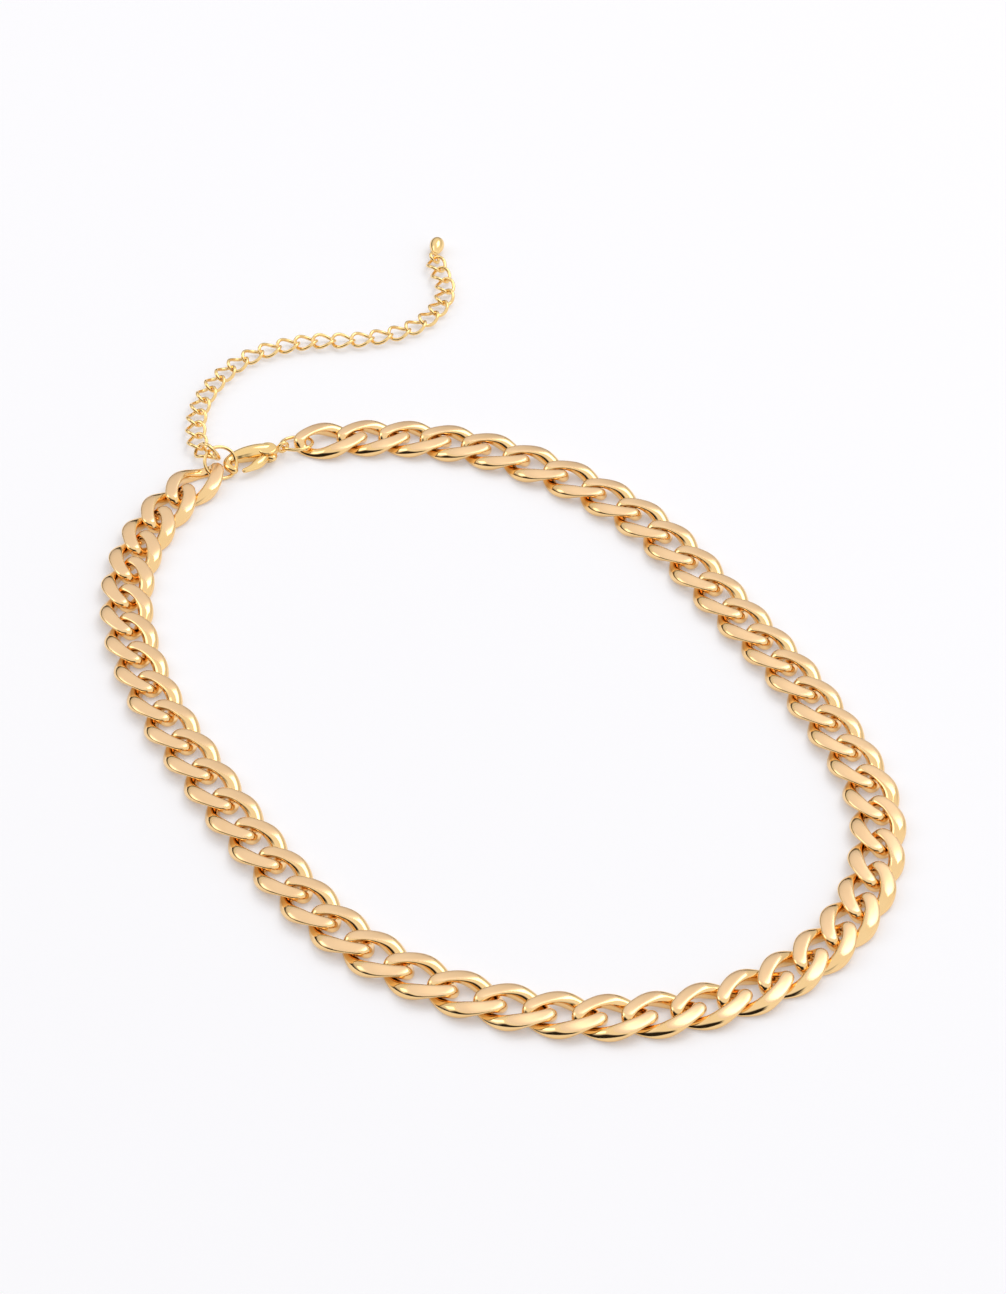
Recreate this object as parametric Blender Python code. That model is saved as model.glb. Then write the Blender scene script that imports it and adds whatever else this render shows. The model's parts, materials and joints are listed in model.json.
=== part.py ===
# Curb chain necklace with a clasp and an extension chain, laid out in a closed oval on a flat surface.
# The sizes below are millimetres. Meshes and places are turned into metres as they are made.
import bpy
import bmesh
import numpy as np
from math import atan2, cos, pi, radians, sin
from mathutils import Matrix, Vector

MM = 0.001

# Main chain: curb links, each a loop of wire twisted about its length and ground flat on both faces.
LINK_COUNT = 51
ROOT_LINK = 26
LINK_HALF_LENGTH = 4.95
LINK_WIDTH = 8.2
LINK_WIRE = 1.0
LINK_SWELL = 0.2
LINK_TWIST = 50.0
LINK_POINTS = 16
CHAIN_THICKNESS = 2.2

# Extension chain: light curb links of round wire, in two lengths that hinge on each other.
FINE_COUNT = 25
FINE_SPLIT = 12
FINE_PITCH = 3.2
FINE_HALF_LENGTH = 1.81
FINE_HALF_WIDTH = 1.62
FINE_WIRE = 0.28
FINE_TWIST = 45.0
FINE_POINTS = 12
FINE_HEIGHT = 1.05
FINE_SLACK = 0.42

# Jump rings: the middle (x, y, z), the radius of the middle of the wire,
# then the lean of the ring's axis from upright and the heading that it leans to.
RING_WIRE = 0.28
RING_POINTS = 20
CLASP_RING = {"middle": (-32.96, 48.31, 1.11), "radius": 2.5, "lean": 13.9, "towards": 97.6}
END_RING = {"middle": (-44.75, 42.32, 1.94), "radius": 2.6, "lean": 38.3, "towards": -61.0}
JOIN_RING_POINTS = 16
JOIN_RING = {"middle": (-46.38, 43.97, 2.92), "radius": 1.75, "lean": 67.7, "towards": 45.9}

# Where the joining ring hooks over the end ring: x, y.
END_HOOK = (-46.6, 43.9)

# Clasp, 12 mm long over its bail. U runs from the bail to the hook and V to the side of the lever.
CLASP_BAIL = (-35.1, 47.05, 1.35)
CLASP_HEADING = 210.0
BAIL_RADIUS = 0.78
BAIL_WIRE = 0.31
# Each path lists u, v and the radius there.
BODY_PATH = (
    (0.85, 0.0, 0.5), (1.5, -0.2, 0.7), (2.4, -0.6, 0.85), (3.6, -1.15, 0.95), (5.2, -1.6, 0.95),
    (6.9, -1.75, 0.8), (8.3, -1.55, 0.68), (9.3, -0.95, 0.6), (9.8, 0.1, 0.55), (9.6, 1.1, 0.5),
    (9.05, 1.7, 0.42),
)
LEVER_PATH = (
    (3.2, 0.35, 0.5), (4.1, 1.1, 0.52), (5.4, 1.75, 0.48), (6.8, 2.05, 0.42), (8.15, 2.0, 0.36),
)
TAB_PATH = ((3.2, 0.45, 0.5), (2.6, 1.3, 0.5), (2.2, 2.1, 0.46))
HEAD = {"u": 2.7, "v": -0.05, "radius": 1.5, "height": 2.0}
SLOT_HEIGHT = 1.1
SLOT_START = (1.9, -1.25)
SLOT_END = (4.6, 3.0)
LEVER_HEIGHT = 0.86
LEVER_ROOT = 0.68
LEVER_SIDES = 16
ARM_SIDES = 8
PIN_SIDES = 14
PIN_OVERHANG = 0.1
RIVET = {"u": 3.1, "v": 0.3, "radius": 0.3, "clearance": 0.1}
SPRING = {"u": 2.55, "v": -0.72, "radius": 0.36, "wire": 0.08, "turns": 2.5, "rise": 0.62}
SPRING_POINTS = 20

# Drop at the end of the extension: a pear of gold fixed to a small ring, which hangs in the last link.
DROP_LENGTH = 4.1
DROP_RADIUS = 1.2
DROP_NECK = 0.42
DROP_TAPER = 0.6
DROP_TURNS = 12
DROP_HEADING = 84.0
DROP_RING_RADIUS = 0.92
DROP_RING_LEAN = 45.0
DROP_RING_SETBACK = 0.5
DROP_RING_POINTS = 14
DROP_LIFT = 0.2
DROP_TIP = 0.05

# Where the joints of the main chain lie: joint number, x, y.
# Joint 0 is the free end of the first link and joint 51 the free end of the last.
MAIN_LAY = (
    (0, -31.0, 48.6), (4, -4.4, 47.2), (8, 19.6, 31.2), (12, 35.0, 6.9), (16, 47.6, -17.4),
    (19, 53.7, -37.1), (22, 50.0, -56.7), (25, 37.4, -71.3), (28, 18.6, -78.0), (31, -1.7, -75.4),
    (34, -20.1, -64.4), (37, -33.0, -47.6), (40, -43.7, -29.0), (43, -53.0, -9.8), (46, -57.6, 10.2),
    (49, -54.0, 29.2), (51, -46.5, 40.6),
)
# Points that the extension's middle line passes through: x, y.
FINE_LAY = (
    (-46.4, 44.9), (-48.3, 46.7), (-49.2, 50.4), (-49.4, 55.3), (-47.0, 64.2), (-41.6, 71.5),
    (-32.8, 75.4), (-23.0, 76.2), (-14.4, 79.8), (-9.6, 88.5), (-11.6, 98.7), (-12.0, 102.5),
)

SATIN_GOLD = (0.83, 0.58, 0.30, 1.0)
BRIGHT_GOLD = (0.90, 0.66, 0.33, 1.0)
STEEL = (0.62, 0.60, 0.56, 1.0)
SATIN_ROUGHNESS = 0.28
BRIGHT_ROUGHNESS = 0.16
STEEL_ROUGHNESS = 0.3


def clear_scene():
    for thing in list(bpy.data.objects):
        bpy.data.objects.remove(thing, do_unlink=True)


def collection(name):
    group = bpy.data.collections.new(name)
    bpy.context.scene.collection.children.link(group)
    return group


def material(name, colour, roughness):
    made = bpy.data.materials.new(name)
    made.use_nodes = True
    shader = made.node_tree.nodes["Principled BSDF"]
    shader.inputs["Base Color"].default_value = colour
    shader.inputs["Metallic"].default_value = 1.0
    shader.inputs["Roughness"].default_value = roughness
    return made


# A smooth curve through points: the slope at each point comes from its neighbours,
# and a cubic joins each pair.
def smooth_through(keys, points, wanted):
    keys = np.asarray(keys, float)
    points = np.asarray(points, float)
    slopes = np.gradient(points, keys, axis=0, edge_order=2)
    spans = np.clip(np.searchsorted(keys, wanted, side="right") - 1, 0, len(keys) - 2)
    width = (keys[spans + 1] - keys[spans])[:, None]
    s = ((np.asarray(wanted, float) - keys[spans]) / width[:, 0])[:, None]
    start = (2 * s**3 - 3 * s**2 + 1) * points[spans] + (s**3 - 2 * s**2 + s) * width * slopes[spans]
    end = (3 * s**2 - 2 * s**3) * points[spans + 1] + (s**3 - s**2) * width * slopes[spans + 1]
    return start + end


def main_joints():
    rows = np.array(MAIN_LAY)
    return smooth_through(rows[:, 0], rows[:, 1:], np.arange(LINK_COUNT + 1))


# The extension's joints are a pitch apart along its route, less some slack where its two lengths meet.
def fine_joints():
    rows = np.array(FINE_LAY)
    keys = np.r_[0.0, np.cumsum(np.hypot(*np.diff(rows, axis=0).T))]
    along = np.linspace(0.0, keys[-1], 2000)
    route = smooth_through(keys, rows, along)
    run = np.r_[0.0, np.cumsum(np.hypot(*np.diff(route, axis=0).T))]
    numbers = np.arange(FINE_COUNT + 1)
    places = FINE_PITCH * numbers - FINE_SLACK * (numbers > FINE_SPLIT)
    return np.stack([np.interp(places, run, route[:, 0]), np.interp(places, run, route[:, 1])], axis=1)


# The middle line of a curb link: an oval whose two ends are turned opposite ways about its length.
def curb_line(half_length, half_width, twist, count):
    points = []
    for k in range(count):
        turn = 2 * pi * k / count
        x = half_length * cos(turn)
        y = half_width * sin(turn)
        roll = radians(twist) * x / half_length
        points.append((x, y * cos(roll), -y * sin(roll)))
    return points


# A tube along points, each with its own radius, as a mesh in metres.
def tube_mesh(name, points, radii, closed=True, sides=6):
    curve = bpy.data.curves.new(name + "_line", "CURVE")
    curve.dimensions = "3D"
    curve.bevel_depth = MM
    curve.bevel_resolution = (sides - 4) // 2
    curve.use_fill_caps = not closed
    spline = curve.splines.new("POLY")
    spline.points.add(len(points) - 1)
    for spot, point, radius in zip(spline.points, points, radii):
        spot.co = (point[0] * MM, point[1] * MM, point[2] * MM, 1.0)
        spot.radius = radius
    spline.use_cyclic_u = closed
    holder = bpy.data.objects.new(name + "_line", curve)
    bpy.context.scene.collection.objects.link(holder)
    bpy.context.view_layer.update()
    mesh = bpy.data.meshes.new_from_object(holder.evaluated_get(bpy.context.evaluated_depsgraph_get()))
    bpy.data.objects.remove(holder, do_unlink=True)
    bpy.data.curves.remove(curve)
    mesh.name = name
    work = bmesh.new()
    work.from_mesh(mesh)
    bmesh.ops.remove_doubles(work, verts=work.verts, dist=0.000002)
    bmesh.ops.recalc_face_normals(work, faces=work.faces)
    work.to_mesh(mesh)
    work.free()
    return mesh


# Grinds a mesh flat at a height, on the side that the direction points to.
def grind(mesh, height, direction):
    work = bmesh.new()
    work.from_mesh(mesh)
    everything = work.verts[:] + work.edges[:] + work.faces[:]
    bmesh.ops.bisect_plane(work, geom=everything, plane_co=(0, 0, height), plane_no=(0, 0, direction),
                           clear_outer=True, dist=0.0000001)
    rim = [edge for edge in work.edges if edge.is_boundary]
    bmesh.ops.holes_fill(work, edges=rim, sides=0)
    bmesh.ops.recalc_face_normals(work, faces=work.faces)
    work.to_mesh(mesh)
    work.free()


def curb_link_mesh():
    half_width = LINK_WIDTH / 2 - LINK_WIRE - LINK_SWELL
    points = curb_line(LINK_HALF_LENGTH, half_width, LINK_TWIST, LINK_POINTS)
    radii = [LINK_WIRE + LINK_SWELL * sin(2 * pi * k / LINK_POINTS) ** 2 for k in range(LINK_POINTS)]
    mesh = tube_mesh("curb_link", points, radii)
    grind(mesh, CHAIN_THICKNESS / 2 * MM, 1)
    grind(mesh, -CHAIN_THICKNESS / 2 * MM, -1)
    return mesh


def ring_mesh(name, radius, wire, count=RING_POINTS):
    points = [(radius * cos(2 * pi * k / count), radius * sin(2 * pi * k / count), 0) for k in range(count)]
    return tube_mesh(name, points, [wire] * count)


def solid_mesh(name, build, **sizes):
    work = bmesh.new()
    build(work, **sizes)
    bmesh.ops.recalc_face_normals(work, faces=work.faces)
    mesh = bpy.data.meshes.new(name)
    work.to_mesh(mesh)
    work.free()
    return mesh


def cylinder_mesh(u, v, radius, height, segments=20):
    return solid_mesh("cylinder", bmesh.ops.create_cone, cap_ends=True, segments=segments,
                      radius1=radius * MM, radius2=radius * MM, depth=height * MM,
                      matrix=Matrix.Translation((u * MM, v * MM, 0)))


def box_mesh(low, high):
    middle = [(a + b) / 2 * MM for a, b in zip(low, high)]
    size = [(b - a) * MM for a, b in zip(low, high)]
    return solid_mesh("box", bmesh.ops.create_cube, size=1.0,
                      matrix=Matrix.Translation(middle) @ Matrix.Diagonal((*size, 1.0)))


def moved(mesh, matrix):
    copy = mesh.copy()
    copy.transform(matrix)
    return copy


# Where a thing stands: a point at a height above the flat surface, turned about the vertical.
def stand(x, y, height, angle=0.0):
    return Matrix.Translation((x * MM, y * MM, height * MM)) @ Matrix.Rotation(angle, 4, "Z")


def heading(start, end):
    return atan2(end[1] - start[1], end[0] - start[0])


# The model: objects and the empties on the joints' axes, which carry them.
class Model:
    def __init__(self, name):
        self.group = collection(name)
        self.world = {}

    def place(self, thing, world, parent):
        self.world[thing.name] = world
        if parent is not None:
            thing.parent = parent
            world = self.world[parent.name].inverted() @ world
        thing.matrix_basis = world

    def pivot(self, name, world, parent=None):
        empty = bpy.data.objects.new(name, None)
        empty.empty_display_size = 2 * MM
        self.group.objects.link(empty)
        self.place(empty, world, parent)
        return empty

    def add(self, name, mesh, world, parent, finish_material):
        thing = bpy.data.objects.new(name, mesh)
        self.group.objects.link(thing)
        if not mesh.materials:
            mesh.materials.append(finish_material)
            mesh.shade_smooth()
            mesh.set_sharp_from_angle(angle=radians(35))
        self.place(thing, world, parent)
        return thing

    # Shifts the root so that the middle of the whole model's box is at x = 0, y = 0 and its underside at z = 0.
    def centre(self):
        bpy.context.view_layer.update()
        corners = [thing.matrix_world @ spot.co for thing in self.group.objects if thing.type == "MESH"
                   for spot in thing.data.vertices]
        low = [min(corner[axis] for corner in corners) for axis in range(3)]
        high = [max(corner[axis] for corner in corners) for axis in range(3)]
        shift = Vector((-(low[0] + high[0]) / 2, -(low[1] + high[1]) / 2, -low[2]))
        for thing in self.group.objects:
            if thing.parent is None:
                thing.location += shift


# A ring's own frame: its axis leans from the vertical by an angle, towards a compass direction.
def ring_place(ring):
    towards = radians(ring["towards"])
    tilt_axis = Vector((-sin(towards), cos(towards), 0))
    x, y, z = ring["middle"]
    return stand(x, y, z) @ Matrix.Rotation(radians(ring["lean"]), 4, tilt_axis)


def add_main_chain(model, gold):
    joints = main_joints()
    mesh = curb_link_mesh()
    height = CHAIN_THICKNESS / 2
    carriers = {}

    def add_link(number, pivot_joint, parent):
        start, end = joints[number - 1], joints[number]
        angle = heading(start, end)
        turning = stand(*joints[pivot_joint], height, angle)
        carriers[number] = model.pivot(f"pivot_{number:02d}", turning, parent)
        middle = stand(*(start + end) / 2, height, angle)
        model.add(f"link_{number:02d}", mesh, middle, carriers[number], gold)

    add_link(ROOT_LINK, ROOT_LINK, None)
    for number in range(ROOT_LINK - 1, 0, -1):
        add_link(number, number, carriers[number + 1])
    for number in range(ROOT_LINK + 1, LINK_COUNT + 1):
        add_link(number, number - 1, carriers[number - 1])
    return joints, carriers


# The point in the middle of a link's end bow, on the side that it faces or on the other.
def bow(joints, number, side):
    start, end = joints[number - 1], joints[number]
    along = (end - start) / np.hypot(*(end - start))
    return (start + end) / 2 + side * LINK_HALF_LENGTH * along


# A tapered round arm in the clasp's own plane.
def arm_mesh(name, path):
    points = [(u, v, 0) for u, v, _ in path]
    radii = [radius for _, _, radius in path]
    return tube_mesh(name, points, radii, closed=False, sides=ARM_SIDES)


def rivet_hole(height):
    return cylinder_mesh(RIVET["u"], RIVET["v"], RIVET["radius"] + RIVET["clearance"], height, PIN_SIDES)


def clasp_body_mesh():
    body = arm_mesh("clasp_body", BODY_PATH)
    head = cylinder_mesh(HEAD["u"], HEAD["v"], HEAD["radius"], HEAD["height"])
    bail = moved(ring_mesh("bail", BAIL_RADIUS, BAIL_WIRE, PIN_SIDES), Matrix.Rotation(pi / 2, 4, "X"))
    slot = box_mesh((*SLOT_START, -SLOT_HEIGHT / 2), (*SLOT_END, SLOT_HEIGHT / 2))
    hole = rivet_hole(2 * HEAD["height"])
    body = combined(body, head, "UNION")
    body = combined(body, bail, "UNION")
    body = combined(body, slot, "DIFFERENCE")
    return combined(body, hole, "DIFFERENCE")


def clasp_lever_mesh():
    root = cylinder_mesh(RIVET["u"], RIVET["v"], LEVER_ROOT, LEVER_HEIGHT, LEVER_SIDES)
    hole = rivet_hole(HEAD["height"])
    lever = combined(arm_mesh("arm", LEVER_PATH), arm_mesh("arm", TAB_PATH), "UNION")
    grind(lever, LEVER_HEIGHT / 2 * MM, 1)
    grind(lever, -LEVER_HEIGHT / 2 * MM, -1)
    lever = combined(lever, root, "UNION")
    return combined(lever, hole, "DIFFERENCE")


# One mesh cut by another or joined to it.
def combined(mesh, other, operation):
    pieces = [bpy.data.objects.new(name, data) for name, data in (("kept", mesh), ("cutter", other))]
    for piece in pieces:
        bpy.context.scene.collection.objects.link(piece)
    step = pieces[0].modifiers.new("cut", "BOOLEAN")
    step.operation = operation
    step.solver = "MANIFOLD"
    step.object = pieces[1]
    bpy.context.view_layer.update()
    graph = bpy.context.evaluated_depsgraph_get()
    result = bpy.data.meshes.new_from_object(pieces[0].evaluated_get(graph))
    for piece in pieces:
        bpy.data.objects.remove(piece, do_unlink=True)
    return result


def spring_mesh():
    points = []
    for k in range(SPRING_POINTS + 1):
        turn = 2 * pi * SPRING["turns"] * k / SPRING_POINTS
        rise = (k / SPRING_POINTS - 0.5) * SPRING["rise"]
        points.append((SPRING["radius"] * cos(turn), SPRING["radius"] * sin(turn), rise))
    return tube_mesh("clasp_spring", points, [SPRING["wire"]] * len(points), closed=False, sides=4)


def add_clasp(model, link_one, bright, steel, joints):
    hold = stand(*bow(joints, 1, -1), CHAIN_THICKNESS / 2)
    ring_pivot = model.pivot("pivot_clasp_ring", hold, link_one)
    ring = ring_mesh("clasp_ring", CLASP_RING["radius"], RING_WIRE)
    model.add("clasp_ring", ring, ring_place(CLASP_RING), ring_pivot, bright)
    frame = stand(*CLASP_BAIL, radians(CLASP_HEADING))
    body_pivot = model.pivot("pivot_clasp_body", frame, ring_pivot)
    model.add("clasp_body", clasp_body_mesh(), frame, body_pivot, bright)
    pin_length = HEAD["height"] + PIN_OVERHANG
    pin = cylinder_mesh(RIVET["u"], RIVET["v"], RIVET["radius"], pin_length, PIN_SIDES)
    model.add("clasp_rivet", pin, frame, body_pivot, bright)
    coil_place = frame @ Matrix.Translation((SPRING["u"] * MM, SPRING["v"] * MM, 0))
    model.add("clasp_spring", spring_mesh(), coil_place, body_pivot, steel)
    lever_pivot_place = frame @ Matrix.Translation((RIVET["u"] * MM, RIVET["v"] * MM, 0))
    lever_pivot = model.pivot("pivot_clasp_lever", lever_pivot_place, body_pivot)
    model.add("clasp_lever", clasp_lever_mesh(), frame, lever_pivot, bright)


# Removes every shell of a mesh but the one with most faces,
# such as the tiny pockets left where wires cross.
def keep_largest_shell(mesh):
    work = bmesh.new()
    work.from_mesh(mesh)
    left = set(work.faces)
    shells = []
    while left:
        reached = [left.pop()]
        shell = []
        while reached:
            face = reached.pop()
            shell.append(face)
            near = {other for edge in face.edges for other in edge.link_faces} & left
            left -= near
            reached.extend(near)
        shells.append(shell)
    shells.sort(key=len)
    loose = [face for shell in shells[:-1] for face in shell]
    bmesh.ops.delete(work, geom=loose, context="FACES")
    work.to_mesh(mesh)
    work.free()


# One length of the extension: its links run a little into each other, which makes them one solid.
def fine_length_mesh(joints, first, last):
    points = curb_line(FINE_HALF_LENGTH, FINE_HALF_WIDTH, FINE_TWIST, FINE_POINTS)
    whole = None
    for number in range(first, last + 1):
        start, end = joints[number - 1], joints[number]
        link = tube_mesh("fine_link", points, [FINE_WIRE] * FINE_POINTS)
        link.transform(stand(*(start + end) / 2, FINE_HEIGHT, heading(start, end)))
        whole = link if whole is None else combined(whole, link, "UNION")
    keep_largest_shell(whole)
    return whole


# The pear: a neck that swells to a round end.
# Its radius is that of an ellipse times a taper along its length.
def pear_mesh():
    points = []
    radii = []
    for k in range(DROP_TURNS + 1):
        angle = pi * k / DROP_TURNS
        share = (1 - cos(angle)) / 2
        points.append((DROP_LENGTH * share, 0, 0))
        taper = (DROP_TAPER + (1 - DROP_TAPER) * share) / (DROP_TAPER / 2 + 0.5)
        swell = DROP_RADIUS * sin(angle) * taper
        radii.append(max(swell, DROP_NECK * (1 - share) ** 4, DROP_TIP))
    return tube_mesh("pear", points, radii, closed=False, sides=12)


def drop_mesh():
    ring = ring_mesh("drop_ring", DROP_RING_RADIUS, RING_WIRE, DROP_RING_POINTS)
    ring.transform(Matrix.Rotation(radians(DROP_RING_LEAN), 4, "X"))
    ring.transform(Matrix.Translation(((DROP_RING_RADIUS - DROP_RING_SETBACK) * MM, 0, 0)))
    pear = pear_mesh()
    reach = 2 * DROP_RING_RADIUS - DROP_RING_SETBACK
    pear.transform(Matrix.Translation((reach * MM, 0, DROP_LIFT * MM)))
    return combined(ring, pear, "UNION")


def add_extension(model, last_link, bright, joints):
    hold = stand(*bow(joints, LINK_COUNT, 1), CHAIN_THICKNESS / 2)
    ring_pivot = model.pivot("pivot_end_ring", hold, last_link)
    ring = ring_mesh("end_ring", END_RING["radius"], RING_WIRE)
    model.add("end_ring", ring, ring_place(END_RING), ring_pivot, bright)
    fine = fine_joints()
    joining = ring_mesh("joining_ring", JOIN_RING["radius"], RING_WIRE, JOIN_RING_POINTS)
    joining.transform(ring_place(JOIN_RING))
    upper = combined(fine_length_mesh(fine, 1, FINE_SPLIT), joining, "UNION")
    upper_pivot = model.pivot("pivot_extension_upper", stand(*END_HOOK, FINE_HEIGHT), ring_pivot)
    model.add("extension_upper", upper, Matrix.Identity(4), upper_pivot, bright)
    lower = fine_length_mesh(fine, FINE_SPLIT + 1, FINE_COUNT)
    bend = stand(*fine[FINE_SPLIT], FINE_HEIGHT)
    lower_pivot = model.pivot("pivot_extension_lower", bend, upper_pivot)
    model.add("extension_lower", lower, Matrix.Identity(4), lower_pivot, bright)
    hang = stand(*fine[FINE_COUNT], FINE_HEIGHT, radians(DROP_HEADING))
    drop_pivot = model.pivot("pivot_drop", hang, lower_pivot)
    model.add("drop", drop_mesh(), hang, drop_pivot, bright)


def main():
    clear_scene()
    model = Model("chain_necklace")
    satin = material("satin_gold", SATIN_GOLD, SATIN_ROUGHNESS)
    bright = material("bright_gold", BRIGHT_GOLD, BRIGHT_ROUGHNESS)
    steel = material("spring_steel", STEEL, STEEL_ROUGHNESS)
    joints, carriers = add_main_chain(model, satin)
    add_clasp(model, carriers[1], bright, steel, joints)
    add_extension(model, carriers[LINK_COUNT], bright, joints)
    model.centre()


main()
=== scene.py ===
# A curb chain necklace: 51 ground links, a claw clasp, two jump rings,
# and a light extension chain with a pear drop.
import json

import bpy
import numpy as np
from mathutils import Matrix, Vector


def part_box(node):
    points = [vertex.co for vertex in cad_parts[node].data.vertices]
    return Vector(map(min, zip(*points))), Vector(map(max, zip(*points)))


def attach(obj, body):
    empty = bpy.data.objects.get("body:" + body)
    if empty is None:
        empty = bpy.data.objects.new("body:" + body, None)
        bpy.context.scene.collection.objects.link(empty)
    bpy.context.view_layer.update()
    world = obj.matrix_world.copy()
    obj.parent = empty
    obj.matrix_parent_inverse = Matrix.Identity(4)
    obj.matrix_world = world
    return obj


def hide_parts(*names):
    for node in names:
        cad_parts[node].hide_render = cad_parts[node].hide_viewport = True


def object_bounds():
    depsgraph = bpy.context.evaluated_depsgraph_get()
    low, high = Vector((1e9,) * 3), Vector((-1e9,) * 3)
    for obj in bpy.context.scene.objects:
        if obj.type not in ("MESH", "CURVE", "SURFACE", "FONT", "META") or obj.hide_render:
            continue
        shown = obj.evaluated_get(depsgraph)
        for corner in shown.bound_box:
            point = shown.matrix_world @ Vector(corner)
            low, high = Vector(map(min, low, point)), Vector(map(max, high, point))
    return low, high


mm = 0.001
tiny = 1e-4

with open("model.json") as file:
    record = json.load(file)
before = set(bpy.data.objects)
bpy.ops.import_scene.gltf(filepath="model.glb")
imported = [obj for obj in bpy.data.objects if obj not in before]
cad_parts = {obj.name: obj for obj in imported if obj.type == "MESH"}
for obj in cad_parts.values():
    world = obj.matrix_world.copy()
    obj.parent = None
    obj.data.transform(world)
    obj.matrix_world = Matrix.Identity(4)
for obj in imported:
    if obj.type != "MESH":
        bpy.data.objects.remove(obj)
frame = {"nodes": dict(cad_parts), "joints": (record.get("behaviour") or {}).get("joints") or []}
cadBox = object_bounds()
jointPlace = {joint["name"]: np.array(joint["pos_m"]) / mm for joint in frame["joints"] if "pos_m" in joint}
print("frame loaded:", len(frame["nodes"]), "nodes")


# A mesh from a grid of points: rows run along a path and columns run round it.
# The columns always close on themselves. Open rows get one flat cap at each end.
def gridMesh(grid, closedRows=True):
    rows, columns = grid.shape[:2]
    number = np.arange(rows * columns).reshape(rows, columns)
    low = number if closedRows else number[:-1]
    high = np.roll(number, -1, axis=0) if closedRows else number[1:]
    quads = np.stack([low, high, np.roll(high, -1, axis=1), np.roll(low, -1, axis=1)], axis=-1).reshape(-1, 4)
    faces = quads.tolist()
    if not closedRows:
        faces += [number[0].tolist(), number[-1][::-1].tolist()]
    return grid.reshape(-1, 3), faces


# One object from one or more (points, faces) pairs in millimetres. The points are already in place.
def addPiece(name, shapes, body, material, stands=(), values=None):
    points = np.concatenate([shape[0] for shape in shapes])
    starts = np.cumsum([0] + [len(shape[0]) for shape in shapes[:-1]])
    faces = []
    for shape, start in zip(shapes, starts):
        faces += [[corner + int(start) for corner in face] for face in shape[1]]
    mesh = bpy.data.meshes.new(name)
    mesh.from_pydata((points * mm).tolist(), [], faces)
    mesh.shade_smooth()
    for key, column in (values or {}).items():
        layer = mesh.attributes.new(key, "FLOAT", "POINT")
        layer.data.foreach_set("value", np.asarray(column, np.float32))
    mesh.materials.append(material)
    piece = bpy.data.objects.new(name, mesh)
    bpy.context.scene.collection.objects.link(piece)
    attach(piece, body)
    if stands:
        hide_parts(*stands)
    return piece


# Turns points about the vertical by an angle in radians, then shifts them to a place.
def placed(points, place, angle):
    c, s = np.cos(angle), np.sin(angle)
    turn = np.array([[c, -s, 0], [s, c, 0], [0, 0, 1]])
    return points @ turn.T + np.asarray(place)


# The cross-section frame along a path: the tangent, the upward direction square to it, and the sideways one.
def sections(path, closed):
    ahead = np.roll(path, -1, axis=0) - np.roll(path, 1, axis=0) if closed else np.gradient(path, axis=0)
    tangent = ahead / np.linalg.norm(ahead, axis=1, keepdims=True)
    up = np.array([0, 0, 1.0]) - tangent * tangent[:, 2:3]
    up /= np.linalg.norm(up, axis=1, keepdims=True)
    return tangent, up, np.cross(tangent, up)


# A tube: a point is the path's point + radius * (cos(a) * up * rise + sin(a) * side), a going once round.
def tube(path, radius, sides, closed=True, rise=1.0):
    tangent, up, side = sections(path, closed)
    around = np.linspace(0, 2 * np.pi, sides, endpoint=False)[None, :, None]
    radius = np.broadcast_to(np.asarray(radius, float), len(path))[:, None, None]
    rise = np.broadcast_to(np.asarray(rise, float), len(path))[:, None, None]
    return path[:, None] + radius * (np.cos(around) * rise * up[:, None] + np.sin(around) * side[:, None])


# A smooth curve through rows of numbers: the slope at each row comes from its neighbours,
# and a cubic joins each pair.
def smoothThrough(keys, rows, wanted):
    keys, rows, wanted = (np.asarray(values, float) for values in (keys, rows, wanted))
    slopes = np.gradient(rows, keys, axis=0, edge_order=2)
    span = np.clip(np.searchsorted(keys, wanted, side="right") - 1, 0, len(keys) - 2)
    width = (keys[span + 1] - keys[span])[:, None]
    s = ((wanted - keys[span]) / width[:, 0])[:, None]
    start = (2 * s**3 - 3 * s**2 + 1) * rows[span] + (s**3 - 2 * s**2 + s) * width * slopes[span]
    end = (3 * s**2 - 2 * s**3) * rows[span + 1] + (s**3 - s**2) * width * slopes[span + 1]
    return start + end


# How a tapered tube's rows crowd towards its ends, and the share of its radius left at the very tip.
tubeEnds = {"crowding": 0.35, "tip": 0.04}


# A tube through a few (u, v, radius) rows on a flat path, with both ends rounded off like a ball.
def taperedTube(rows, count, sides, rise=1.0):
    rows = np.asarray(rows, float)
    keys = np.r_[0.0, np.cumsum(np.hypot(*np.diff(rows[:, :2], axis=0).T))]
    share = (1 - np.cos(np.linspace(0, np.pi, count))) / 2
    crowding = tubeEnds["crowding"]
    along = keys[-1] * (crowding * share + (1 - crowding) * np.linspace(0, 1, count))
    found = smoothThrough(keys, rows, along)
    radius = found[:, 2]
    near = np.clip(np.minimum(along / radius[0], (keys[-1] - along) / radius[-1]), 0.0, 1.0)
    radius = radius * np.maximum(np.sqrt(1 - (1 - near) ** 2), tubeEnds["tip"])
    path = np.column_stack([found[:, :2], np.zeros(count)])
    return gridMesh(tube(path, radius, sides, closed=False, rise=rise), closedRows=False)


class Nodes:
    def __init__(self, name):
        self.material = bpy.data.materials.new(name)
        self.material.use_nodes = True
        self.tree = self.material.node_tree
        self.shader = self.tree.nodes["Principled BSDF"]

    def add(self, kind, **settings):
        node = self.tree.nodes.new(kind)
        for key, value in settings.items():
            if key in node.inputs.keys():
                node.inputs[key].default_value = value
            else:
                setattr(node, key, value)
        return node

    def link(self, source, socket, target, targetSocket):
        self.tree.links.new(source.outputs[socket], target.inputs[targetSocket])


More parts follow.
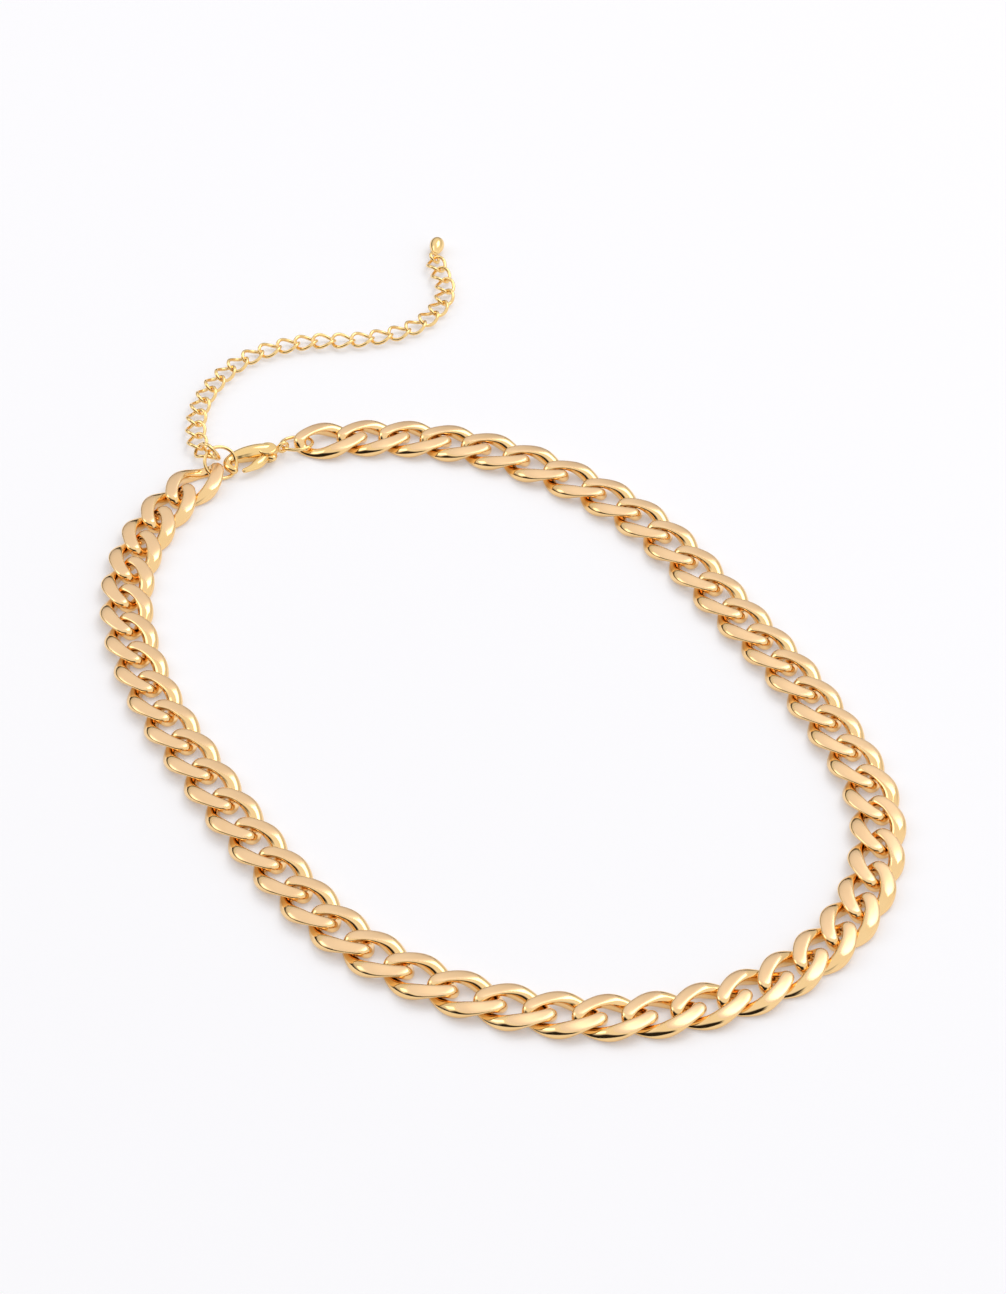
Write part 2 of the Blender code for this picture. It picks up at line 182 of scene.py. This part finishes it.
goldLook = {
    "flatColour": (0.96, 0.67, 0.39, 1), "flatColourDeep": (0.89, 0.59, 0.31, 1), "flatRoughness": 0.30,
    "sideColour": (1.0, 0.71, 0.36, 1), "sideColourDeep": (0.93, 0.60, 0.25, 1), "sideRoughness": 0.09,
    "grainSize": 5200.0, "grainHeight": 0.0000018, "scratchSize": 900.0, "cloudSize": 260.0,
}


# Ground links: the attribute "ground" is 1 on the flat faces, which are satin, and 0 on the polished sides.
def groundGold(look):
    n = Nodes("groundGold")
    place = n.add("ShaderNodeTexCoord")
    ground = n.add("ShaderNodeAttribute", attribute_name="ground")
    cloud = n.add("ShaderNodeTexNoise", Scale=look["cloudSize"], Detail=3.0, Roughness=0.55)
    n.link(place, "Object", cloud, "Vector")
    flat = n.add("ShaderNodeMix", data_type="RGBA")
    n.link(cloud, "Fac", flat, "Factor")
    flat.inputs["A"].default_value = look["flatColour"]
    flat.inputs["B"].default_value = look["flatColourDeep"]
    side = n.add("ShaderNodeMix", data_type="RGBA")
    n.link(cloud, "Fac", side, "Factor")
    side.inputs["A"].default_value = look["sideColour"]
    side.inputs["B"].default_value = look["sideColourDeep"]
    both = n.add("ShaderNodeMix", data_type="RGBA")
    n.link(ground, "Fac", both, "Factor")
    n.link(side, "Result", both, "A")
    n.link(flat, "Result", both, "B")
    n.link(both, "Result", n.shader, "Base Color")
    # a fine satin grain, with longer strokes laid over it
    grain = n.add("ShaderNodeTexNoise", Scale=look["grainSize"], Detail=2.0)
    n.link(place, "Object", grain, "Vector")
    stretch = n.add("ShaderNodeMapping")
    stretch.inputs["Rotation"].default_value = (0, 0, 0.9)
    stretch.inputs["Scale"].default_value = (1.0, 9.0, 1.0)
    n.link(place, "Object", stretch, "Vector")
    strokes = n.add("ShaderNodeTexNoise", Scale=look["scratchSize"], Detail=4.0, Roughness=0.7)
    n.link(stretch, "Vector", strokes, "Vector")
    height = n.add("ShaderNodeMath", operation="ADD")
    n.link(grain, "Fac", height, 0)
    n.link(strokes, "Fac", height, 1)
    strength = n.add("ShaderNodeMapRange")
    n.link(ground, "Fac", strength, "Value")
    strength.inputs["To Min"].default_value = 0.12
    strength.inputs["To Max"].default_value = 1.0
    bump = n.add("ShaderNodeBump", Distance=look["grainHeight"])
    n.link(height, "Value", bump, "Height")
    n.link(strength, "Result", bump, "Strength")
    n.link(bump, "Normal", n.shader, "Normal")
    rough = n.add("ShaderNodeMapRange")
    n.link(ground, "Fac", rough, "Value")
    rough.inputs["To Min"].default_value = look["sideRoughness"]
    rough.inputs["To Max"].default_value = look["flatRoughness"]
    vary = n.add("ShaderNodeMapRange")
    n.link(strokes, "Fac", vary, "Value")
    vary.inputs["To Min"].default_value = 0.8
    vary.inputs["To Max"].default_value = 1.25
    final = n.add("ShaderNodeMath", operation="MULTIPLY")
    n.link(rough, "Result", final, 0)
    n.link(vary, "Result", final, 1)
    n.link(final, "Value", n.shader, "Roughness")
    n.shader.inputs["Metallic"].default_value = 1.0
    return n.material


# Polished metal: two tones in soft clouds, fine hairlines in its gloss and a slight ripple in its surface.
def polished(name, colour, deep, roughness, cloudSize=420.0, ripple=0.000004):
    n = Nodes(name)
    place = n.add("ShaderNodeTexCoord")
    cloud = n.add("ShaderNodeTexNoise", Scale=cloudSize, Detail=3.0)
    n.link(place, "Object", cloud, "Vector")
    tone = n.add("ShaderNodeMix", data_type="RGBA")
    n.link(cloud, "Fac", tone, "Factor")
    tone.inputs["A"].default_value = colour
    tone.inputs["B"].default_value = deep
    n.link(tone, "Result", n.shader, "Base Color")
    hair = n.add("ShaderNodeTexNoise", Scale=cloudSize * 9, Detail=4.0, Roughness=0.7)
    n.link(place, "Object", hair, "Vector")
    gloss = n.add("ShaderNodeMapRange")
    n.link(hair, "Fac", gloss, "Value")
    gloss.inputs["To Min"].default_value = roughness * 0.7
    gloss.inputs["To Max"].default_value = roughness * 1.5
    n.link(gloss, "Result", n.shader, "Roughness")
    bump = n.add("ShaderNodeBump", Distance=ripple, Strength=0.5)
    n.link(cloud, "Fac", bump, "Height")
    n.link(bump, "Normal", n.shader, "Normal")
    n.shader.inputs["Metallic"].default_value = 1.0
    return n.material


linkGold = groundGold(goldLook)
brightGold = polished("brightGold", (1.0, 0.74, 0.34, 1), (0.92, 0.60, 0.24, 1), 0.10)
springSteel = polished("springSteel", (0.66, 0.64, 0.60, 1), (0.50, 0.48, 0.45, 1), 0.24)
print("materials made")


curbLink = {
    "count": 51, "halfLength": 4.95, "width": 8.2, "wire": 1.0, "swell": 0.2, "twist": 50.0,
    "thickness": 2.2, "edge": 3.8, "crown": 0.16, "rows": 120, "sides": 56,
}


# The middle line of a curb link: x = a cos t and y = b sin t, rolled about x by an angle in proportion to x.
def curbLine(halfLength, halfWidth, twist, count):
    t = np.linspace(0, 2 * np.pi, count, endpoint=False)
    x = halfLength * np.cos(t)
    y = halfWidth * np.sin(t)
    roll = np.radians(twist) * x / halfLength
    return t, np.column_stack([x, y * np.cos(roll), -y * np.sin(roll)])


# A curb link ground flat on both faces. Each cross-section is a disc cut by the two grinding planes.
# A ray from the middle of what is left stops at the nearer of the disc's rim and a plane:
# reach = (rim^-p + plane^-p)^(-1/p), where a higher p leaves a sharper edge. Each plane leans a little
# outward, by crown * y / half width, so that the faces are slightly domed across the link.
def curbLinkSurface(part):
    halfWidth = part["width"] / 2 - part["wire"] - part["swell"]
    t, path = curbLine(part["halfLength"], halfWidth, part["twist"], part["rows"])
    radius = (part["wire"] + part["swell"] * np.sin(t) ** 2)[:, None]
    tangent, up, side = sections(path, True)
    steep = up[:, 2:3]
    top = (part["thickness"] / 2 - path[:, 2:3]) / steep
    bottom = (-part["thickness"] / 2 - path[:, 2:3]) / steep
    middle = (np.clip(top, -radius, radius) + np.clip(bottom, -radius, radius)) / 2
    a = np.linspace(0, 2 * np.pi, part["sides"], endpoint=False)[None]
    c, s = np.cos(a), np.sin(a)
    rim = -middle * c + np.sqrt(np.maximum(radius**2 - (middle * s) ** 2, 0))
    lean = part["crown"] * path[:, 1:2] / halfWidth * side[:, 1:2] / steep
    above = (top - middle) / np.maximum(c + lean * s, tiny)
    below = (bottom - middle) / np.minimum(c - lean * s, -tiny)
    plane = np.where(c > 0, above, below)
    p = part["edge"]
    reach = (rim**-p + plane**-p) ** (-1 / p)
    grid = path[:, None] + (middle + reach * c)[..., None] * up[:, None]
    grid = grid + (reach * s)[..., None] * side[:, None]
    ground = np.clip((rim / plane - 0.97) / 0.06, 0, 1)
    return grid, ground


linkGrid, linkGround = curbLinkSurface(curbLink)
for number in range(1, curbLink["count"] + 1):
    name = f"link_{number:02d}"
    low, high = (np.array(corner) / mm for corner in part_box(name))
    middle = (low + high) / 2
    ahead = jointPlace.get(f"joint_{number:02d}", None)
    behind = jointPlace.get(f"joint_{number - 1:02d}", None)
    direction = (ahead if ahead is not None else middle) - (behind if behind is not None else middle)
    angle = np.arctan2(direction[1], direction[0])
    points, faces = gridMesh(linkGrid)
    shape = (placed(points, middle, angle), faces)
    ground = {"ground": linkGround.ravel()}
    addPiece(f"curb_{number:02d}", [shape], name, linkGold, [name], ground)
print("main chain made")


# Rings stand where the CAD rings do: a middle, then the lean of the axis and the heading it leans to.
# Their places are in the layout's own axes, and the clasp's bail ties those axes to the frame.
claspBail = np.array([-35.1, 47.05, 1.35])
layoutShift = jointPlace["clasp_turn"] - claspBail
jumpRings = {
    "clasp_ring": {
        "middle": (-32.96, 48.31, 1.11), "radius": 2.5, "lean": 13.9, "towards": 97.6, "cut": 200.0,
    },
    "end_ring": {
        "middle": (-44.75, 42.32, 1.94), "radius": 2.6, "lean": 38.3, "towards": -61.0, "cut": 250.0,
    },
}
joiningRing = {"middle": (-46.38, 43.97, 2.92), "radius": 1.75, "lean": 67.7, "towards": 45.9, "cut": 20.0}
ringWire = {"radius": 0.28, "gap": 0.9, "cutSize": 0.82, "rows": 112, "sides": 20}


# A jump ring is bent from wire, so it has a fine cut:
# an arc of a circle that stops just short of a full turn.
def ringSurface(ring, wire):
    half = np.radians(wire["gap"])
    turn = np.radians(ring["cut"]) + np.linspace(half, 2 * np.pi - half, wire["rows"])
    outward = np.column_stack([np.cos(turn), np.sin(turn), np.zeros(wire["rows"])])[:, None]
    a = np.linspace(0, 2 * np.pi, wire["sides"], endpoint=False)[None, :, None]
    taper = np.ones(wire["rows"])
    taper[[0, -1]] = wire["cutSize"]
    radius = wire["radius"] * taper[:, None, None]
    grid = outward * (ring["radius"] - radius * np.cos(a)) + radius * np.sin(a) * np.array([0, 0, 1.0])
    towards, lean = np.radians(ring["towards"]), np.radians(ring["lean"])
    k = np.array([-np.sin(towards), np.cos(towards), 0])
    cross = np.array([[0, -k[2], k[1]], [k[2], 0, -k[0]], [-k[1], k[0], 0]])
    tilt = np.eye(3) + np.sin(lean) * cross + (1 - np.cos(lean)) * cross @ cross
    points, faces = gridMesh(grid, closedRows=False)
    return points @ tilt.T + np.array(ring["middle"]) + layoutShift, faces


for name, ring in jumpRings.items():
    addPiece(name + "_wire", [ringSurface(ring, ringWire)], name, brightGold, [name])
print("jump rings made")


fineLink = {
    "count": 25, "split": 12, "pitch": 3.2, "halfLength": 1.81, "halfWidth": 1.48, "wire": 0.28,
    "twist": 36.0, "height": 1.05, "slack": 0.42, "rows": 60, "sides": 16,
}
fineRoute = (
    (-46.4, 44.9), (-48.3, 46.7), (-49.2, 50.4), (-49.4, 55.3), (-47.0, 64.2), (-41.6, 71.5), (-32.8, 75.4),
    (-23.0, 76.2), (-14.4, 79.8), (-9.6, 88.5), (-11.6, 98.7), (-12.0, 102.5),
)


# The joints lie a pitch apart along the smooth route, with some slack between the two lengths.
def fineJoints(part, rows):
    rows = np.array(rows)
    keys = np.r_[0.0, np.cumsum(np.hypot(*np.diff(rows, axis=0).T))]
    route = smoothThrough(keys, rows, np.linspace(0.0, keys[-1], 2000))
    run = np.r_[0.0, np.cumsum(np.hypot(*np.diff(route, axis=0).T))]
    numbers = np.arange(part["count"] + 1)
    places = part["pitch"] * numbers - part["slack"] * (numbers > part["split"])
    found = np.column_stack([np.interp(places, run, route[:, 0]), np.interp(places, run, route[:, 1])])
    return found + layoutShift[:2]


joints = fineJoints(fineLink, fineRoute)
t, fineLine = curbLine(fineLink["halfLength"], fineLink["halfWidth"], fineLink["twist"], fineLink["rows"])
fineGrid = tube(fineLine, fineLink["wire"], fineLink["sides"])
for number in range(1, fineLink["count"] + 1):
    start, end = joints[number - 1], joints[number]
    angle = np.arctan2(*(end - start)[::-1])
    points, faces = gridMesh(fineGrid)
    body = "extension_upper" if number <= fineLink["split"] else "extension_lower"
    place = (*(start + end) / 2, fineLink["height"])
    shape = (placed(points, place, angle), faces)
    addPiece(f"fine_link_{number:02d}", [shape], body, brightGold, [body])
addPiece("joining_ring_wire", [ringSurface(joiningRing, ringWire)], "extension_upper", brightGold,
         ["extension_upper"])
print("extension chain made")


pearDrop = {
    "length": 4.1, "radius": 1.2, "neck": 0.42, "taper": 0.6, "heading": 84.0, "ringRadius": 0.92,
    "ringLean": 45.0, "setback": 0.5, "lift": 0.2, "tip": 0.02, "rows": 72, "sides": 48,
    "ringRows": 64, "ringSides": 16,
}


# A pear turned about its length: radius = ellipse * taper,
# never less than a neck that thins away as (1 - share)^4.
def pearSurface(part):
    angle = np.linspace(part["tip"], np.pi - part["tip"], part["rows"])
    share = (1 - np.cos(angle)) / 2
    taper = (part["taper"] + (1 - part["taper"]) * share) / (part["taper"] / 2 + 0.5)
    swell = part["radius"] * np.sin(angle) * taper
    neck = part["neck"] * (1 - share) ** 4
    radius = (swell**6 + neck**6) ** (1 / 6)
    path = np.column_stack([part["length"] * share + 2 * part["ringRadius"] - part["setback"],
                            np.zeros(part["rows"]), np.full(part["rows"], part["lift"])])
    return gridMesh(tube(path, radius, part["sides"], closed=False), closedRows=False)


def dropRing(part):
    a = np.linspace(0, 2 * np.pi, part["ringRows"], endpoint=False)
    path = np.column_stack([np.cos(a), np.sin(a) * np.cos(np.radians(part["ringLean"])),
                            np.sin(a) * np.sin(np.radians(part["ringLean"]))]) * part["ringRadius"]
    path[:, 0] += part["ringRadius"] - part["setback"]
    return gridMesh(tube(path, ringWire["radius"], part["ringSides"]))


hang = (*joints[-1], fineLink["height"])
dropParts = [(placed(points, hang, np.radians(pearDrop["heading"])), faces)
             for points, faces in (pearSurface(pearDrop), dropRing(pearDrop))]
addPiece("pear_drop", dropParts, "drop", brightGold, ["drop"])
print("drop made")


# U runs from the bail to the hook and V to the side of the lever. Rows are u, v and the wire's radius.
claspBody = {
    "spine": ((0.75, 0.0, 0.5), (1.5, -0.1, 0.85), (2.4, -0.4, 1.12), (3.6, -0.78, 1.3), (5.2, -1.1, 1.34),
              (6.7, -1.34, 1.2), (8.2, -1.38, 0.92), (9.3, -0.95, 0.76), (9.85, 0.1, 0.7), (9.6, 1.15, 0.64),
              (8.95, 1.85, 0.52)),
    "cheek": {"u": 2.75, "v": 0.05, "radius": 1.5, "from": 0.5, "to": 1.06, "rim": 0.27},
    "bail": {"radius": 0.78, "wire": 0.31, "rows": 56, "sides": 18},
    "heading": 210.0, "rows": 96, "sides": 32,
}
claspLever = {
    "arm": ((3.0, 0.5, 0.62), (4.1, 1.2, 0.8), (5.4, 1.85, 0.86), (6.8, 2.25, 0.58), (8.45, 2.25, 0.4)),
    "tab": ((3.4, 0.8, 0.5), (2.8, 1.5, 0.62), (2.3, 2.15, 0.56)),
    "root": 0.68, "height": 0.86, "wireHeight": 0.86, "armRows": 64, "tabRows": 40, "sides": 28,
}
rivetHead = {"u": 3.1, "v": 0.3, "radius": 0.3, "height": 2.1, "rim": 0.05, "sides": 40}
coilSpring = {
    "u": 2.55, "v": -0.72, "radius": 0.36, "wire": 0.08, "turns": 2.5, "rise": 0.62, "rows": 120, "sides": 10,
}
claspAngle = np.radians(claspBody["heading"])


def inClasp(shape):
    return placed(shape[0], jointPlace["clasp_turn"], claspAngle), shape[1]


# A round plate with a rounded rim: the rim's radius falls as a quarter circle near both faces.
def disc(u, v, radius, low, high, rim=0.12, sides=64):
    angle = np.linspace(0, np.pi / 2, 7)
    inward = np.r_[radius * 0.02, radius - rim, radius - rim * (1 - np.sin(angle[1:])), radius]
    drop = np.r_[0.0, 0.0, rim * (1 - np.cos(angle[1:])), rim]
    inward = np.r_[inward, inward[::-1]]
    z = np.r_[high - drop, (low + drop)[::-1]]
    a = np.linspace(0, 2 * np.pi, sides, endpoint=False)[None]
    grid = np.stack([u + inward[:, None] * np.cos(a), v + inward[:, None] * np.sin(a),
                     np.broadcast_to(z[:, None], (len(z), sides))], axis=-1)
    return gridMesh(grid[:, ::-1], closedRows=False)


def bailRing(bail):
    a = np.linspace(0, 2 * np.pi, bail["rows"], endpoint=False)
    b = np.linspace(0, 2 * np.pi, bail["sides"], endpoint=False)
    reach = bail["radius"] + bail["wire"] * np.cos(b)[None]
    across = np.broadcast_to(bail["wire"] * np.sin(b)[None], (len(a), len(b)))
    grid = np.stack([reach * np.cos(a)[:, None], across, reach * np.sin(a)[:, None]], axis=-1)
    return gridMesh(grid)


cheek = claspBody["cheek"]
bodyShapes = [
    taperedTube(claspBody["spine"], claspBody["rows"], claspBody["sides"]), bailRing(claspBody["bail"]),
    disc(cheek["u"], cheek["v"], cheek["radius"], cheek["from"], cheek["to"], cheek["rim"]),
    disc(cheek["u"], cheek["v"], cheek["radius"], -cheek["to"], -cheek["from"], cheek["rim"]),
]
bodyShapes = [inClasp(shape) for shape in bodyShapes]
addPiece("clasp_shell", bodyShapes, "clasp_body", brightGold, ["clasp_body"])
squash = claspLever["wireHeight"]
half = claspLever["height"] / 2
leverShapes = [
    taperedTube(claspLever["arm"], claspLever["armRows"], claspLever["sides"], rise=squash),
    taperedTube(claspLever["tab"], claspLever["tabRows"], claspLever["sides"], rise=squash),
    disc(rivetHead["u"], rivetHead["v"], claspLever["root"], -half, half),
]
leverShapes = [inClasp(shape) for shape in leverShapes]
addPiece("clasp_thumb_lever", leverShapes, "clasp_lever", brightGold, ["clasp_lever"])
half = rivetHead["height"] / 2
pin = disc(rivetHead["u"], rivetHead["v"], rivetHead["radius"], -half, half, rivetHead["rim"],
           rivetHead["sides"])
addPiece("clasp_pin", [inClasp(pin)], "clasp_body", brightGold, ["clasp_rivet"])
turn = np.linspace(0, 2 * np.pi * coilSpring["turns"], coilSpring["rows"])
coil = np.column_stack([coilSpring["u"] + coilSpring["radius"] * np.cos(turn),
                        coilSpring["v"] + coilSpring["radius"] * np.sin(turn),
                        coilSpring["rise"] * (turn / turn[-1] - 0.5)])
coilShape = gridMesh(tube(coil, coilSpring["wire"], coilSpring["sides"], closed=False), closedRows=False)
addPiece("clasp_coil", [inClasp(coilShape)], "clasp_body", springSteel, ["clasp_spring"])
print("clasp made")


# Pale paper floor that glows evenly with painted light: it emits its own colour, which lifts and softens the
# shadows cast on it.
def paleSurface(name, colour, roughness, paintedGlow):
    n = Nodes(name)
    place = n.add("ShaderNodeTexCoord")
    cloud = n.add("ShaderNodeTexNoise", Scale=3.0, Detail=2.0)
    n.link(place, "Object", cloud, "Vector")
    tone = n.add("ShaderNodeMix", data_type="RGBA")
    n.link(cloud, "Fac", tone, "Factor")
    tone.inputs["A"].default_value = colour
    tone.inputs["B"].default_value = (*(value * 0.985 for value in colour[:3]), 1)
    n.link(tone, "Result", n.shader, "Base Color")
    # painted light: the floor emits its own colour, so the shadows on it come out lighter
    n.link(tone, "Result", n.shader, "Emission Color")
    n.shader.inputs["Emission Strength"].default_value = paintedGlow
    n.shader.inputs["Roughness"].default_value = roughness
    return n.material


floorSize = 3.0
floorDrop = 0.00002
mesh = bpy.data.meshes.new("floor")
corners = [(x * floorSize, y * floorSize, 0) for x, y in ((-1, -1), (1, -1), (1, 1), (-1, 1))]
mesh.from_pydata(corners, [], [(0, 1, 2, 3)])
floor = bpy.data.objects.new("floor", mesh)
mesh.materials.append(paleSurface("paleFloor", (0.74, 0.735, 0.745, 1), 0.6, 0.32))
bpy.context.scene.collection.objects.link(floor)
floor.location.z = cadBox[0][2] - floorDrop

studio = {
    "keyPlace": (0.5, 0.45, 1.0), "keySize": 0.7, "keyEnergy": 3.2,
    "fillPlace": (-0.9, 0.2, 0.7), "fillSize": 0.5, "fillEnergy": 1.0, "fillColour": (1.0, 0.99, 0.97),
    "dome": (0.98, 0.98, 1.0, 1), "dark": (0.022, 0.018, 0.016, 1), "strength": 0.96,
}


def areaLight(name, place, target, size, energy, colour=(1, 1, 1)):
    data = bpy.data.lights.new(name, "AREA")
    data.energy = energy
    data.size = size
    data.color = colour
    light = bpy.data.objects.new(name, data)
    bpy.context.scene.collection.objects.link(light)
    light.location = place
    light.rotation_euler = (Vector(target) - Vector(place)).to_track_quat("-Z", "Y").to_euler()
    return light


areaLight("keySoftbox", studio["keyPlace"], (0, 0, 0), studio["keySize"], studio["keyEnergy"])
areaLight("fillSoftbox", studio["fillPlace"], (0, 0, 0), studio["fillSize"], studio["fillEnergy"],
          studio["fillColour"])

# The room round the table, which the gold reflects: a pale dome with a dark patch low in front,
# a dark rim that leaves one side bright, and a little shade low at the back.
world = bpy.data.worlds.new("studio")
bpy.context.scene.world = world
world.use_nodes = True
tree = world.node_tree
background = tree.nodes["Background"]
direction = tree.nodes.new("ShaderNodeTexCoord")
split = tree.nodes.new("ShaderNodeSeparateXYZ")
tree.links.new(direction.outputs["Generated"], split.inputs[0])


# Goes smoothly from one value to another while a direction's part goes from one limit to the other.
def fade(part, start, end, first, last):
    node = tree.nodes.new("ShaderNodeMapRange")
    node.interpolation_type = "SMOOTHSTEP"
    tree.links.new(split.outputs[part], node.inputs["Value"])
    for key, value in (("From Min", start), ("From Max", end), ("To Min", first), ("To Max", last)):
        node.inputs[key].default_value = value
    return node.outputs["Result"]


def combine(operation, first, second):
    node = tree.nodes.new("ShaderNodeMath")
    node.operation = operation
    tree.links.new(first, node.inputs[0])
    tree.links.new(second, node.inputs[1])
    return node.outputs[0]


frontPatch = combine("MULTIPLY", fade("Y", -0.1, -0.36, 0.0, 1.0), fade("Z", 0.78, 0.6, 0.0, 1.0))
frontPatch = combine("MULTIPLY", frontPatch, fade("X", 0.45, 0.15, 0.0, 1.0))
backShade = combine("MULTIPLY", fade("Y", 0.1, 0.4, 0.0, 0.24), fade("Z", 0.72, 0.35, 0.0, 1.0))
rim = combine("MULTIPLY", fade("Z", 0.34, 0.12, 0.0, 1.0), fade("X", 0.55, 0.25, 0.0, 1.0))
shade = tree.nodes.new("ShaderNodeMix")
shade.data_type = "RGBA"
tree.links.new(combine("MAXIMUM", combine("MAXIMUM", frontPatch, rim), backShade), shade.inputs["Factor"])
shade.inputs["A"].default_value = studio["dome"]
shade.inputs["B"].default_value = studio["dark"]
tree.links.new(shade.outputs["Result"], background.inputs["Color"])
background.inputs["Strength"].default_value = studio["strength"]

# The camera looks down on the necklace from the front. The target is the middle of the layout on the floor.
shot = {"elevation": 41.0, "distance": 603.4, "sensor": 36.0, "lens": 111.28}
cameraData = bpy.data.cameras.new("camera")
camera = bpy.data.objects.new("camera", cameraData)
bpy.context.scene.collection.objects.link(camera)
bpy.context.scene.camera = camera
cameraData.sensor_width = shot["sensor"]
cameraData.lens = shot["lens"]
cameraData.clip_start, cameraData.clip_end = 0.01, 10.0
target = Vector((layoutShift[0] * mm, layoutShift[1] * mm, 0))
tilt = np.radians(shot["elevation"])
away = Vector((0, -np.cos(tilt), np.sin(tilt)))
camera.location = target + away * shot["distance"] * mm
camera.rotation_euler = (-away).to_track_quat("-Z", "Y").to_euler()
bpy.context.scene.view_settings.view_transform = "Standard"
print("room, light and camera made")
